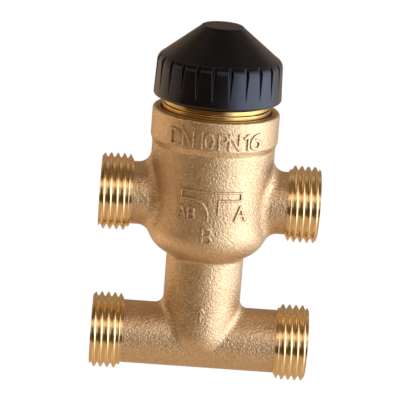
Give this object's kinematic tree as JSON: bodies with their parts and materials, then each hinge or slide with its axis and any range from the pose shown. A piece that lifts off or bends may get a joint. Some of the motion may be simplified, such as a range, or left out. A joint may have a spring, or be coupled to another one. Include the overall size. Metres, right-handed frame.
{
  "type": "three way valve",
  "caption": "Three way mixing valve with bypass tee: cast bronze body, male threaded ports, spring-loaded double-seat stem and a screw-down conical hand cap.",
  "frame": {"origin": "centre of the bounding box's bottom face: on the stem axis, level with the lowest crest of the bypass threads", "axes": "+Z along the stem towards the hand cap, +X along the ports towards port A, -Y towards the side with the cast marks"},
  "size_m": [0.06, 0.0351, 0.0988],
  "materials": {
    "cast_bronze": "sand-cast and shot-blasted bronze, turned and polished on the port threads",
    "turned_brass": "turned and polished",
    "stainless": "turned",
    "spring_steel": "drawn wire",
    "seal_rubber": "moulded",
    "wiper_plastic": "turned",
    "cap_plastic": "moulded, fine satin"
  },
  "bodies": {
    "body": {"valve_body": "cast_bronze", "lower_seat_ring": "stainless", "seat_cage": "turned_brass", "cage_o_ring": "seal_rubber", "bonnet": "turned_brass", "bonnet_o_ring": "seal_rubber", "stem_guide_bush": "turned_brass", "lower_stem_seal": "seal_rubber", "spring_washer": "stainless", "gland_nut": "turned_brass", "gland_o_ring": "seal_rubber", "upper_stem_seal": "seal_rubber", "stem_wiper": "wiper_plastic", "return_spring": "spring_steel"},
    "stem": {"valve_stem": "stainless", "plug_body": "turned_brass", "upper_plug_seal": "seal_rubber", "lower_plug_seal": "seal_rubber", "upper_plug_washer": "stainless", "lower_plug_washer": "stainless", "plug_nut": "stainless", "spring_plate": "stainless", "stem_clip": "spring_steel"},
    "cap": {"hand_cap": "cap_plastic"}
  },
  "joints": [
    {"name": "stem_travel", "type": "slide", "parent": "body", "child": "stem", "axis": [0, 0, -1], "range_m": [0, 0.0025], "deforming": ["return_spring"]},
    {"name": "cap_turn", "type": "hinge", "parent": "stem", "child": "cap", "pos_m": [0, 0, 0.08348], "axis": [0, 0, -1], "range_deg": [0, 600]}
  ],
  "couplings": [
    {"joint": "cap_turn", "follows": "stem_travel", "rad_per_m": 4188.8}
  ]
}
